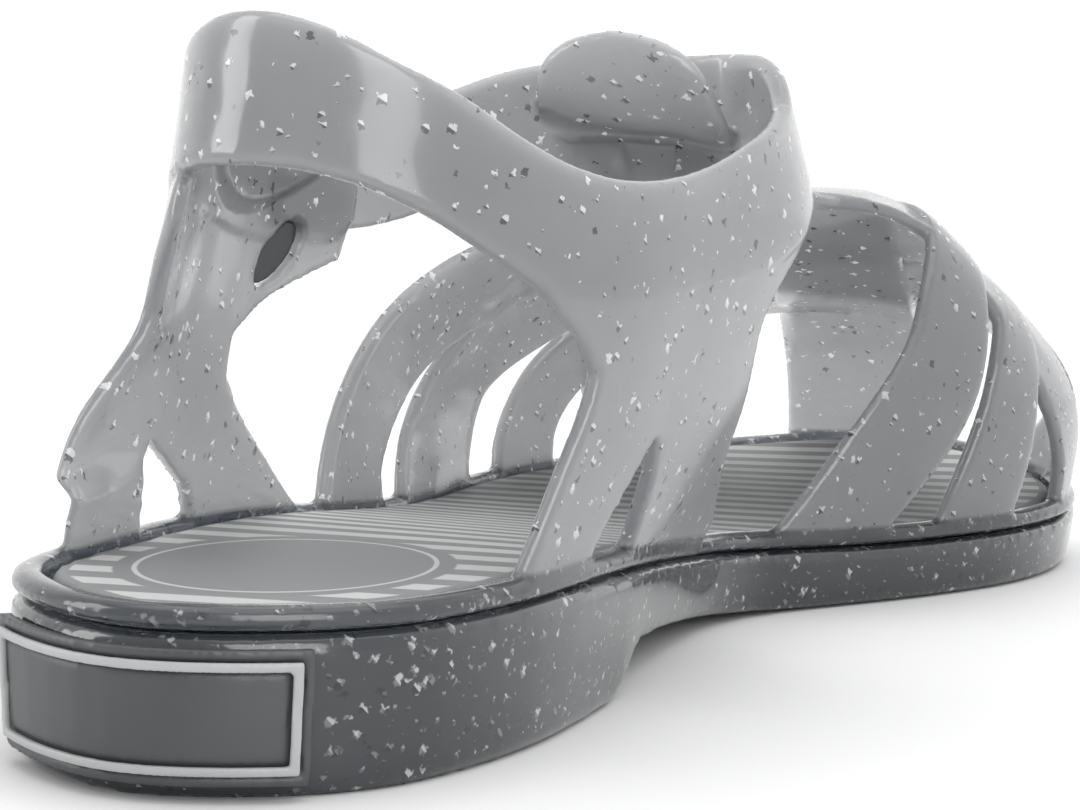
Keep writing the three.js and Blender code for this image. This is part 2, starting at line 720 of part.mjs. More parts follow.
// Point of a skin and its outward direction.
function onSkin(skin, a, b, stepA, stepB, turnOut) {
  const point = skin(a, b);
  const u = skin(a + stepA, b).sub(skin(a - stepA, b));
  const v = skin(a, b + stepB).sub(skin(a, b - stepB));
  return { point, out: u.cross(v).normalize().multiplyScalar(turnOut) };
}
function onAnkle(turn, height) {
  return onSkin(anklePoint, turn, height, 0.3, 0.003, 1);
}
function onVamp(turn, along) {
  return onSkin(vampPoint, turn, along, 0.3, 0.1, 1);
}

// Strap with chamfered edges on a skin. ends(s) gives the two edge places and the lift
// at a share of its length; ease draws its rows closer at both ends.
function strap(place, ends, length, width, low, high, spacing = 6.2, ease = 0) {
  const rowCount = Math.max(3, Math.round(length / spacing) + 1);
  const columnCount = Math.max(2, Math.round(width / columnStep));
  const chamfer = 0.8;
  const shares = [0, chamfer / width];
  for (let c = 1; c < columnCount; c += 1) shares.push(c / columnCount);
  shares.push(1 - chamfer / width, 1);
  return slab(rowCount, shares.length, (i, j) => {
    const even = i / (rowCount - 1);
    const row = ends(even - (ease * Math.sin(2 * Math.PI * even)) / (2 * Math.PI));
    const t = shares[j];
    const a = row.from[0] + (row.to[0] - row.from[0]) * t;
    const b = row.from[1] + (row.to[1] - row.from[1]) * t;
    const { point, out } = place(a, b);
    const rim = j === 0 || j === shares.length - 1 ? 0.3 * (high - low) : 0;
    const lift = row.lift || 0;
    return [
      point.clone().addScaledVector(out, low + rim + lift),
      point.clone().addScaledVector(out, high - rim + lift),
    ];
  });
}

// Rows of a table spaced evenly along the strap they describe.
function alongTable(rows, place, columns) {
  const middle = rows.map((row) => {
    const [from, to] = columns(row);
    return place((from[0] + to[0]) / 2, (from[1] + to[1]) / 2).point;
  });
  const marked = rows.map((row) => ({ ...row }));
  let length = 0;
  let width = 0;
  marked.forEach((row, i) => {
    if (i) length += middle[i].distanceTo(middle[i - 1]);
    row.run = length;
    const [from, to] = columns(row);
    width = Math.max(width, place(...from).point.distanceTo(place(...to).point));
  });
  const ends = (share) => {
    const run = share * length;
    const row = {};
    for (const key of Object.keys(rows[0])) row[key] = between(marked, 'run', key, run);
    const [from, to] = columns(row);
    return { from, to, lift: (row.lift || 0) * strapThick };
  };
  return { ends, length, width };
}

function quarter(rows, low, high, spacing) {
  const columns = (row) => [
    [row.rear, row.height],
    [row.front, row.height],
  ];
  const { ends, length, width } = alongTable(rows, onAnkle, columns);
  return strap(onAnkle, ends, length, width, low, high, spacing);
}

function band(rows, low, high) {
  const columns = (row) => [
    [row.turn, row.low],
    [row.turn, row.high],
  ];
  const { ends, length, width } = alongTable(rows, onAnkle, columns);
  return strap(onAnkle, ends, length, width, low, high, 4.8, 0.6);
}

function vampStrap(rows, layer) {
  const columns = (row) => [
    [row.turn, row.rear * soleLength],
    [row.turn, row.front * soleLength],
  ];
  const { ends, length } = alongTable(rows, onVamp, columns);
  const lift = layer * layerStep;
  return strap(onVamp, ends, length, 18, lift, lift + strapThick);
}

function tongue() {
  let run = 0;
  const rows = tongueTable.map((row, i, all) => {
    const before = all[Math.max(0, i - 1)];
    const dy = (row.along - before.along) * soleLength;
    const dz = (row.height - before.height) * instepHeight;
    run += Math.hypot(dy, dz);
    return { ...row, run };
  });
  const tonguePoint = (u, place) => {
    const at = (key) => between(rows, 'run', key, place);
    const x = at('shift') * ballWidth + u;
    const y = at('along') * soleLength - at('plan') * u * u;
    const own = new THREE.Vector3(x, y, at('height') * instepHeight - at('bow') * u * u);
    const skin = clamp(at('skin'), 0, 1);
    return skin > 0 ? own.lerp(vampAt(x, y), skin) : own;
  };
  const onTongue = (u, place) => onSkin(tonguePoint, u, place, 0.4, 0.4, 1);
  const ends = (share) => {
    const half = between(rows, 'run', 'half', share * run) * tongueWidth;
    return { from: [-half, share * run], to: [half, share * run] };
  };
  const low = -layerStep;
  return strap(onTongue, ends, run, tongueWidth, low, low + strapThick, 4.8, 0.8);
}

// Patch of the heel's side wall, by distance round from its centre line and by height,
// between two distances off the wall.
const heelRun = makeHeelRun();
function makeHeelRun() {
  const side = (name) => {
    const path = [];
    let run = 0;
    outline[name].forEach((p, i, all) => {
      if (i) run += Math.hypot(p.x - all[i - 1].x, p.y - all[i - 1].y);
      if (run < 60) path.push({ run: name === 'medial' ? run : -run, ...p });
    });
    return path;
  };
  return [...side('lateral').reverse(), ...side('medial').slice(1)];
}
function heelPoint(run, height, off) {
  const column = (key) => between(heelRun, 'run', key, run);
  const share = height / heelWall;
  const inset = between(wallTable, 'share', 'inset', clamp(share, 0.06, 0.91)) - off;
  return new THREE.Vector3(column('x') - column('nx') * inset, column('y') - column('ny') * inset, height);
}
function heelPatch(trim, lowOff, highOff) {
  const reach = plateHalfWidth - trim;
  const low = plateLow + trim;
  const high = plateHigh - trim;
  const columnCount = 11;
  return slab(columnCount, 3, (i, j) => {
    const run = -reach + (2 * reach * i) / (columnCount - 1);
    const height = low + ((high - low) * j) / 2;
    return [heelPoint(run, height, lowOff), heelPoint(run, height, highOff)];
  });
}

// Channel across the tread, bowed forward in the middle.
function treadChannel(y) {
  const left = edgeX('lateral', y, treadMargin);
  const right = edgeX('medial', y, treadMargin);
  const count = 5;
  return slab(count, 2, (i, j) => {
    const share = i / (count - 1);
    const x = left + (right - left) * share;
    const bow = 3 * (1 - (2 * share - 1) ** 2);
    const place = y + bow + (j - 0.5) * treadWidth;
    return [new THREE.Vector3(x, place, -1), new THREE.Vector3(x, place, treadDepth)];
  });
}

// Oval disc on the ankle last, less the shrink, between two distances off it.
function studDisc(shrink, low, high) {
  const { point, out } = onAnkle(studPlace.turn, studPlace.height);
  const geometry = new THREE.CylinderGeometry(0.5, 0.5, high - low, 28);
  geometry.scale(studHoleLong - shrink, 1, studHoleWide - shrink);
  const rise = new THREE.Vector3(0, Math.cos(studTilt * degree), Math.sin(studTilt * degree));
  const side = rise.cross(out).normalize();
  const long = out.clone().cross(side);
  geometry.applyMatrix4(new THREE.Matrix4().makeBasis(long, out, side));
  const middle = point.clone().addScaledVector(out, (low + high) / 2);
  geometry.translate(middle.x, middle.y, middle.z);
  geometry.deleteAttribute('normal');
  geometry.deleteAttribute('uv');
  const merged = mergeVertices(geometry, 1e-4);
  const points = [];
  for (let i = 0; i < merged.attributes.position.count; i += 1) {
    points.push(new THREE.Vector3().fromBufferAttribute(merged.attributes.position, i));
  }
  return solidOf(points, [Array.from(merged.index.array)]);
}

function makeOutsole() {
  const up = (row, x, y) => {
    const half = Math.max(1, (edgeX('medial', y, 2) - edgeX('lateral', y, 2)) / 2);
    const middle = (edgeX('medial', y, 2) + edgeX('lateral', y, 2)) / 2;
    const across = clamp((x - middle) / half, -1, 1);
    const low = soleBottom(y, across);
    return low + (soleTop(y) - low) * row.share;
  };
  let solid = roundSole(wallTable, up, false, 5);
  const channels = [0.6, 0.64, 0.68, 0.72, 0.76, 0.06, 0.12, 0.18, 0.24];
  for (const share of channels) solid = solid.subtract(treadChannel(share * soleLength));
  return solid;
}

function makeUpper() {
  const rim = rimTable.map((row) => ({ inset: row.across * rimWidth, up: row.up }));
  const rimUp = (row, x, y) => soleTop(y) + gap + row.up * rimHeight;
  const notch = (rows) => quarter(rows, -4, strapThick + 4, 5);
  const hole = studDisc(0, -2, strapThick + 0.3);
  const parts = [
    quarter(medialQuarter, 0.1, strapThick - 0.1, 4.6).subtract(notch(medialNotch)),
    quarter(lateralQuarter, 0.1, strapThick - 0.1, 4.6).subtract(notch(lateralNotch)),
    band(ankleBand, -0.2, strapThick + 0.2),
    band(bandLobe, 0, strapThick),
    ...vampStraps.map((row) => vampStrap(row.rows, row.layer)),
    tongue(),
  ];
  const pocket = [
    { inset: rimWidth + 0.1, up: -0.5 },
    { inset: rimWidth + 0.1, up: insoleThick + 2 * gap },
  ];
  const pocketUp = (row, x, y) => soleTop(y) + row.up;
  const cage = parts.reduce((all, part) => all.add(part), roundSole(rim, rimUp, true));
  return cage.subtract(roundSole(pocket, pocketUp, false, 1)).subtract(hole);
}

function makeInsole() {
  const profile = [
    { inset: rimWidth + 0.1 + gap, up: 0 },
    { inset: rimWidth + 0.1 + gap, up: 0.6 },
    { inset: rimWidth + 0.9, up: 1 },
  ];
  const up = (row, x, y) => soleTop(y) + gap + row.up * insoleThick;
  return roundSole(profile, up, false, 2);
}

function makePlate() {
  const body = heelPatch(0, gap, gap + plateThick);
  const sunk = gap + plateThick - frameRise;
  const outer = heelPatch(frameMargin - gap, sunk, gap + plateThick + 2);
  const inner = heelPatch(frameMargin + frameWidth + gap, sunk - 1, gap + plateThick + 3);
  return body.subtract(outer.subtract(inner));
}

function makeFrame() {
  const low = gap + plateThick - frameRise + gap;
  const high = gap + plateThick + frameRise;
  const outer = heelPatch(frameMargin, low, high);
  return outer.subtract(heelPatch(frameMargin + frameWidth, low - 1, high + 1));
}

function makeStud() {
  return studDisc(2 * gap, 0.9, strapThick + 0.05);
}

// Colours as the material of each node.
const looks = {
  outsole: { color: 0x5c6064, roughness: 0.18 },
  upper: { color: 0xa3a7ab, roughness: 0.16 },
  insole: { color: 0xc2c2bf, roughness: 0.7 },
  heel_plate: { color: 0x54575a, roughness: 0.5 },
  heel_plate_frame: { color: 0xc9cacc, roughness: 0.45 },
  strap_stud: { color: 0x5a5d60, roughness: 0.3 },
};
const solids = {
  outsole: makeOutsole(),
  upper: makeUpper(),
  insole: makeInsole(),
  heel_plate: makePlate(),
  heel_plate_frame: makeFrame(),
  strap_stud: makeStud(),
};

const part = new THREE.Group();
part.name = 'jelly_sandal_left';
for (const [name, solid] of Object.entries(solids)) {
  const made = solid.getMesh();
  const geometry = new THREE.BufferGeometry();
  geometry.setAttribute('position', new THREE.BufferAttribute(made.vertProperties, 3));
  geometry.setIndex(new THREE.BufferAttribute(made.triVerts, 1));
  geometry.computeVertexNormals();
  const material = new THREE.MeshStandardMaterial({ metalness: 0, ...looks[name] });
  const mesh = new THREE.Mesh(geometry, material);
  mesh.name = name;
  part.add(mesh);
}
const box = new THREE.Box3().setFromObject(part);
part.position.set(-(box.min.x + box.max.x) / 2, -(box.min.y + box.max.y) / 2, -box.min.z);

export default part;
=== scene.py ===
import math

import bmesh
import bpy
from mathutils import Matrix, Vector, kdtree


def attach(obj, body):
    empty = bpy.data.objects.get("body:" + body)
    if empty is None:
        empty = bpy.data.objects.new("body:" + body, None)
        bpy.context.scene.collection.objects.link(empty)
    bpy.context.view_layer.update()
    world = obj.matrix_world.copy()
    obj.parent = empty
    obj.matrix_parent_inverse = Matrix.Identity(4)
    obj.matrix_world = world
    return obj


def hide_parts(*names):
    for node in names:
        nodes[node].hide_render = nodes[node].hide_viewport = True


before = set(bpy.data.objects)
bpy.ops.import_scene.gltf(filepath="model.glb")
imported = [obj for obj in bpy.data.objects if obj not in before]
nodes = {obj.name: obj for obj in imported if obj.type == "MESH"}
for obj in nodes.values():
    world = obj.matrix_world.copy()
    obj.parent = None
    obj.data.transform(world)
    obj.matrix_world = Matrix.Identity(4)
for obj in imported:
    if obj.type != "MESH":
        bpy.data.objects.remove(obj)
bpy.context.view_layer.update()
print("frame loaded")

mm = 0.001
mergeDistance = 0.00001

# Where the sole's own millimetres (heel tip at 0) lie in the frame
soleOrigin = {"x": -0.816, "y": -121.475}


def pickOnly(*objects):
    bpy.ops.object.select_all(action="DESELECT")
    for each in objects:
        each.select_set(True)
    bpy.context.view_layer.objects.active = objects[0]


def applyModifier(obj, kind, **settings):
    pickOnly(obj)
    modifier = obj.modifiers.new(kind.lower(), kind)
    for name, value in settings.items():
        setattr(modifier, name, value)
    bpy.ops.object.modifier_apply(modifier=modifier.name)


def copyNode(nodeName, pieceName):
    source = nodes[nodeName]
    piece = source.copy()
    piece.data = source.data.copy()
    piece.name = pieceName
    piece.parent = None
    piece.matrix_world = source.matrix_world.copy()
    bpy.context.scene.collection.objects.link(piece)
    pickOnly(piece)
    bpy.ops.object.mode_set(mode="EDIT")
    bpy.ops.mesh.select_all(action="SELECT")
    bpy.ops.mesh.remove_doubles(threshold=mergeDistance)
    bpy.ops.mesh.normals_make_consistent(inside=False)
    bpy.ops.object.mode_set(mode="OBJECT")
    return piece


def creaseByAngle(obj, degrees):
    # edges sharper than this stay crisp while the facets between them are rounded
    mesh = bmesh.new()
    mesh.from_mesh(obj.data)
    layers = mesh.edges.layers.float
    layer = layers.get("crease_edge") or layers.new("crease_edge")
    limit = math.radians(degrees)
    for edge in mesh.edges:
        sharp = len(edge.link_faces) != 2 or edge.calc_face_angle(0) > limit
        edge[layer] = 1.0 if sharp else 0.0
    mesh.to_mesh(obj.data)
    mesh.free()


def finishPiece(piece, nodeName, *materials):
    piece.data.materials.clear()
    for material in materials:
        piece.data.materials.append(material)
    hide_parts(nodeName)
    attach(piece, "root")
    print(piece.name, "made,", len(piece.data.polygons), "faces")


def softened(nodeName, pieceName, shape):
    # the faceted solid, rounded as a moulding is: smooth between its edges, small fillets at them
    piece = copyNode(nodeName, pieceName)
    creaseByAngle(piece, shape["creaseAngle"])
    applyModifier(piece, "SUBSURF", levels=shape["levels"], render_levels=shape["levels"])
    applyModifier(piece, "REMESH", mode="VOXEL", voxel_size=shape["voxel"])
    applyModifier(piece, "SMOOTH", factor=0.5, iterations=shape["smoothing"])
    kept = shape["mostTriangles"] / (2 * len(piece.data.polygons))
    if kept < 1:
        applyModifier(piece, "DECIMATE", ratio=kept)
    pickOnly(piece)
    bpy.ops.object.shade_smooth()
    return piece


def newMaterial(name):
    material = bpy.data.materials.new(name)
    material.use_nodes = True
    tree = material.node_tree
    tree.nodes.clear()
    out = tree.nodes.new("ShaderNodeOutputMaterial")
    shader = tree.nodes.new("ShaderNodeBsdfPrincipled")
    tree.links.new(shader.outputs["BSDF"], out.inputs["Surface"])
    return material, tree, shader


def addNode(tree, kind, **values):
    node = tree.nodes.new(kind)
    for name, value in values.items():
        if name in node.inputs:
            node.inputs[name].default_value = value
        else:
            setattr(node, name, value)
    return node


def mathNode(tree, operation, first, second=0.0, third=0.0):
    node = addNode(tree, "ShaderNodeMath", operation=operation)
    for socket, value in zip(node.inputs, (first, second, third)):
        if isinstance(value, bpy.types.NodeSocket):
            tree.links.new(value, socket)
        else:
            socket.default_value = value
    return node.outputs[0]


def mixColor(tree, factor, first, second):
    node = addNode(tree, "ShaderNodeMix", data_type="RGBA")
    colors = [socket for socket in node.inputs if socket.type == "RGBA"]
    for socket, value in zip((node.inputs["Factor"], *colors), (factor, first, second)):
        if isinstance(value, bpy.types.NodeSocket):
            tree.links.new(value, socket)
        else:
            socket.default_value = value
    return [socket for socket in node.outputs if socket.type == "RGBA"][0]


def rangeNode(tree, value, low, high, toLow, toHigh, smooth=False):
    node = addNode(tree, "ShaderNodeMapRange")
    node.interpolation_type = "SMOOTHSTEP" if smooth else "LINEAR"
    limits = {"From Min": low, "From Max": high, "To Min": toLow, "To Max": toHigh}
    for name, each in limits.items():
        node.inputs[name].default_value = each
    tree.links.new(value, node.inputs["Value"])
    return node.outputs["Result"]


def noiseAt(tree, place, **values):
    noise = addNode(tree, "ShaderNodeTexNoise", **values)
    tree.links.new(place, noise.inputs["Vector"])
    return noise.outputs["Fac"]


def addBump(tree, shader, height, strength, distance):
    bump = addNode(tree, "ShaderNodeBump", Strength=strength, Distance=distance)
    tree.links.new(height, bump.inputs["Height"])
    tree.links.new(bump.outputs["Normal"], shader.inputs["Normal"])


# the flake light direction and side contrast below are painted light: one side of each flake gets a painted
# highlight, the other side painted shade
flakeShape = {
    "wobbleScale": 1900.0,
    "sizeSpread": 0.16,
    "paintedLightSide": (0.45, 0.35, 0.8),
    "paintedSideContrast": 0.5,
    "paleShare": 0.6,
}


def buildFlakes():
    # Glitter set in clear vinyl: an angular flake in some of the cells, its random tone raised on one side as
    # a painted highlight and lowered on the other side as painted shade
    group = bpy.data.node_groups.new("vinylFlakes", "ShaderNodeTree")
    face = group.interface
    face.new_socket("Vector", in_out="INPUT", socket_type="NodeSocketVector")
    for name in ("Scale", "Size", "Share", "Ragged", "Soft"):
        face.new_socket(name, in_out="INPUT", socket_type="NodeSocketFloat")
    for name in ("Mask", "ToneWithPaintedLight"):
        face.new_socket(name, in_out="OUTPUT", socket_type="NodeSocketFloat")
    into = group.nodes.new("NodeGroupInput")
    out = group.nodes.new("NodeGroupOutput")
    link = group.links.new
    cells = addNode(group, "ShaderNodeTexVoronoi", voronoi_dimensions="3D", feature="F1",
                    distance="CHEBYCHEV", Randomness=1.0)
    link(into.outputs["Vector"], cells.inputs["Vector"])
    link(into.outputs["Scale"], cells.inputs["Scale"])
    split = addNode(group, "ShaderNodeSeparateColor")
    link(cells.outputs["Color"], split.inputs["Color"])
    chosen = mathNode(group, "LESS_THAN", split.outputs["Red"], into.outputs["Share"])
    wobble = noiseAt(group, into.outputs["Vector"], Scale=flakeShape["wobbleScale"], Detail=1.0)
    rough = mathNode(group, "SUBTRACT", wobble, 0.5)
    distance = cells.outputs["Distance"]
    ragged = mathNode(group, "MULTIPLY_ADD", rough, into.outputs["Ragged"], distance)
    bigger = flakeShape["sizeSpread"]
    spread = mathNode(group, "MULTIPLY_ADD", split.outputs["Blue"], bigger, into.outputs["Size"])
    inside = mathNode(group, "SUBTRACT", spread, ragged)
    near = mathNode(group, "MINIMUM", mathNode(group, "DIVIDE", inside, into.outputs["Soft"]), 1.0)
    shown = mathNode(group, "MAXIMUM", near, 0.0)
    link(mathNode(group, "MULTIPLY", chosen, shown), out.inputs["Mask"])
    offset = addNode(group, "ShaderNodeVectorMath", operation="SUBTRACT")
    link(into.outputs["Vector"], offset.inputs[0])
    link(cells.outputs["Position"], offset.inputs[1])
    slope = addNode(group, "ShaderNodeVectorMath", operation="DOT_PRODUCT")
    link(offset.outputs["Vector"], slope.inputs[0])
    slope.inputs[1].default_value = flakeShape["paintedLightSide"]
    # painted light: the half of each flake that points one fixed way is lifted as a painted highlight, the
    # other half is lowered as painted shade
    towardPaintedLight = mathNode(group, "GREATER_THAN", slope.outputs["Value"], 0.0)
    paintedLitSide = mathNode(group, "SUBTRACT", towardPaintedLight, 0.5)
    paintedSideSpread = flakeShape["paintedSideContrast"]
    link(mathNode(group, "MULTIPLY_ADD", paintedLitSide, paintedSideSpread, split.outputs["Green"]), out.inputs["ToneWithPaintedLight"])
    return group


flakes = buildFlakes()


def addFlakes(tree, place, base, layers):
    # lays each size of flake over the vinyl's own colour; the bright colour is a painted glint and the dark
    # colour is partly the flake's own tone, partly painted shade
    color = base
    for layer in layers:
        shift = addNode(tree, "ShaderNodeMapping", Location=layer["shift"], Rotation=layer["turn"])
        tree.links.new(place, shift.inputs["Vector"])
        fleck = tree.nodes.new("ShaderNodeGroup")
        fleck.node_tree = flakes
        for key in ("Scale", "Size", "Share", "Ragged", "Soft"):
            fleck.inputs[key].default_value = layer[key]
        tree.links.new(shift.outputs["Vector"], fleck.inputs["Vector"])
        tone = addNode(tree, "ShaderNodeValToRGB")
        ramp = tone.color_ramp
        ramp.interpolation = "CONSTANT"
        # dark: the flake's own dark tone and, on its far side, painted shade
        ramp.elements[0].color = layer["dark"]
        ramp.elements[1].position = layer["darkShare"]
        ramp.elements[1].color = layer["pale"]
        # bright: a painted glint, reached only on the flake's painted lit side
        glintStart = layer["darkShare"] + flakeShape["paleShare"] * (1 - layer["darkShare"])
        ramp.elements.new(glintStart).color = layer["bright"]
        tree.links.new(fleck.outputs["ToneWithPaintedLight"], tone.inputs["Fac"])
        strength = mathNode(tree, "MULTIPLY", fleck.outputs["Mask"], layer["strength"])
        color = mixColor(tree, strength, color, tone.outputs["Color"])
    return color


upperLook = {
    "deep": (0.168, 0.176, 0.185, 1),
    "pale": (0.202, 0.21, 0.219, 1),
    "cloudScale": 45.0,
    "rough": (0.16, 0.24),
    "waveScale": 60.0,
    "waveStrength": 0.22,
    "subsurface": 1.0,
    "depth": 0.02,
    "clear": 0.2,
    "coat": 0.3,
    # in each flake the bright colour is a painted glint and the dark colour is partly painted shade
    "flakes": [
        {
            "Scale": 640.0, "Size": 0.18, "Share": 0.24, "Ragged": 0.55, "Soft": 0.05,
            "shift": (0.3, 0.1, 0.2), "turn": (0.5, 0.3, 0.7), "strength": 1.0,
            "dark": (0.03, 0.032, 0.035, 1), "darkShare": 0.47,
            "pale": (0.7, 0.7, 0.71, 1), "bright": (1.0, 1.0, 1.0, 1),
        },
        {
            "Scale": 1050.0, "Size": 0.15, "Share": 0.09, "Ragged": 0.45, "Soft": 0.08,
            "shift": (0.7, 0.4, 0.9), "turn": (0.2, 0.9, 0.4), "strength": 0.7,
            "dark": (0.08, 0.082, 0.085, 1), "darkShare": 0.6,
            "pale": (0.6, 0.61, 0.62, 1), "bright": (0.95, 0.96, 0.97, 1),
        },
    ],
}
soleLook = {
    "deep": (0.022, 0.026, 0.031, 1),
    "pale": (0.044, 0.049, 0.056, 1),
    "cloudScale": 34.0,
    "rough": (0.1, 0.18),
    "waveScale": 60.0,
    "waveStrength": 0.22,
    "subsurface": 0.3,
    "depth": 0.005,
    "clear": 0.0,
    "coat": 0.5,
    # in each flake the bright colour is a painted glint and the dark colour is partly painted shade
    "flakes": [
        {
            "Scale": 600.0, "Size": 0.21, "Share": 0.5, "Ragged": 0.6, "Soft": 0.14,
            "shift": (0.2, 0.6, 0.4), "turn": (0.6, 0.2, 0.5), "strength": 0.75,
            "dark": (0.012, 0.013, 0.015, 1), "darkShare": 0.4,
            "pale": (0.22, 0.23, 0.24, 1), "bright": (0.62, 0.64, 0.65, 1),
        },
        {
            "Scale": 1100.0, "Size": 0.18, "Share": 0.3, "Ragged": 0.5, "Soft": 0.12,
            "shift": (0.9, 0.3, 0.1), "turn": (0.1, 0.7, 0.3), "strength": 0.6,
            "dark": (0.015, 0.016, 0.018, 1), "darkShare": 0.4,
            "pale": (0.16, 0.17, 0.18, 1), "bright": (0.4, 0.42, 0.43, 1),
        },
    ],
}


cloudRange = (0.3, 0.7)
vinylBump = 0.0005
fineBump = 0.0001


def vinylColor(tree, place, look):
    cloud = noiseAt(tree, place, Scale=look["cloudScale"], Detail=3.0, Roughness=0.5)
    spread = rangeNode(tree, cloud, *cloudRange, 0.0, 1.0)
    base = mixColor(tree, spread, look["deep"], look["pale"])
    return addFlakes(tree, place, base, look["flakes"]), spread


def finishVinyl(tree, shader, place, look, color, spread):
    tree.links.new(color, shader.inputs["Base Color"])
    tree.links.new(rangeNode(tree, spread, 0.0, 1.0, *look["rough"]), shader.inputs["Roughness"])
    wave = noiseAt(tree, place, Scale=look["waveScale"], Detail=2.0)
    addBump(tree, shader, wave, look["waveStrength"], vinylBump)
    settings = {
        "Subsurface Weight": look["subsurface"],
        "Subsurface Radius": (1.0, 1.0, 1.0),
        "Subsurface Scale": look["depth"],
        "Transmission Weight": look["clear"],
        "Coat Weight": look["coat"],
        "Coat Roughness": 0.05,
    }
    for name, value in settings.items():
        shader.inputs[name].default_value = value


# The lip at the foot of the cage is tinted like the sole: it follows the top of the side wall
lip = {
    "heelTop": 15.8,
    "foreTop": 8.2,
    "fall": (45.08, 150.43),
    "spring": (190.1, 245.0),
    "toeLift": 4.0,
    "tintEnd": (2.7, 3.3),
}


def lipMask(tree, place):
    split = addNode(tree, "ShaderNodeSeparateXYZ")
    tree.links.new(place, split.inputs["Vector"])
    start, end = ((value + soleOrigin["y"]) * mm for value in lip["fall"])
    heelTop, foreTop = lip["heelTop"] * mm, lip["foreTop"] * mm
    wall = rangeNode(tree, split.outputs["Y"], start, end, heelTop, foreTop, True)
    start, end = ((value + soleOrigin["y"]) * mm for value in lip["spring"])
    toe = mathNode(tree, "POWER", rangeNode(tree, split.outputs["Y"], start, end, 0.0, 1.0), 2.0)
    edge = mathNode(tree, "MULTIPLY_ADD", toe, lip["toeLift"] * mm, wall)
    above = mathNode(tree, "SUBTRACT", split.outputs["Z"], edge)
    full, clear = (value * mm for value in lip["tintEnd"])
    return rangeNode(tree, above, full, clear, 1.0, 0.0)


def makeSoleVinyl():
    material, tree, shader = newMaterial("soleVinyl")
    place = addNode(tree, "ShaderNodeTexCoord").outputs["Object"]
    color, spread = vinylColor(tree, place, soleLook)
    finishVinyl(tree, shader, place, soleLook, color, spread)
    return material


def makeCageVinyl():
    material, tree, shader = newMaterial("cageVinyl")
    place = addNode(tree, "ShaderNodeTexCoord").outputs["Object"]
    cage, spread = vinylColor(tree, place, upperLook)
    foot, _ = vinylColor(tree, place, soleLook)
    color = mixColor(tree, lipMask(tree, place), cage, foot)
    finishVinyl(tree, shader, place, upperLook, color, spread)
    return material


upperShape = {"creaseAngle": 30.0, "levels": 2, "voxel": 0.0005, "smoothing": 4, "mostTriangles": 190000}
upper = softened("upper", "cageUpper", upperShape)
finishPiece(upper, "upper", makeCageVinyl())

soleShape = {"creaseAngle": 34.0, "levels": 2, "voxel": 0.00075, "smoothing": 2, "mostTriangles": 150000}
sole = softened("outsole", "mouldedSole", soleShape)
finishPiece(sole, "outsole", makeSoleVinyl())

# Insole: a printed foam sheet, pale bars on grey, with a plain oval at the heel
insoleLook = {
    "creaseAngle": 35.0,
    "levels": 2,
    "voxel": 0.0009,
    "smoothing": 3,
    "rimNormal": 0.6,
    "border": 1.4,
    "borderSoft": 0.1,
    "barPitch": 7.33,
    "barLean": 0.3,
    "barStart": 59.4,
    "barShare": 0.5,
    "barSoft": 0.02,
    "barShift": 100.5,
    "pale": (0.6, 0.605, 0.6, 1),
    "grey": (0.25, 0.255, 0.26, 1),
    "oval": {
        "centre": (0.0, 33.0),
        "half": (14.6, 18.9),
        "ring": 0.55,
        "ringEdge": (0.45, 0.75),
        "field": 1.14,
        "fieldSoft": 0.01,
        "color": (0.24, 0.245, 0.25, 1),
    },
    "weaveScale": 1400.0,
    "wornScale": 70.0,
    "soil": 0.12,
    "rough": 0.6,
}


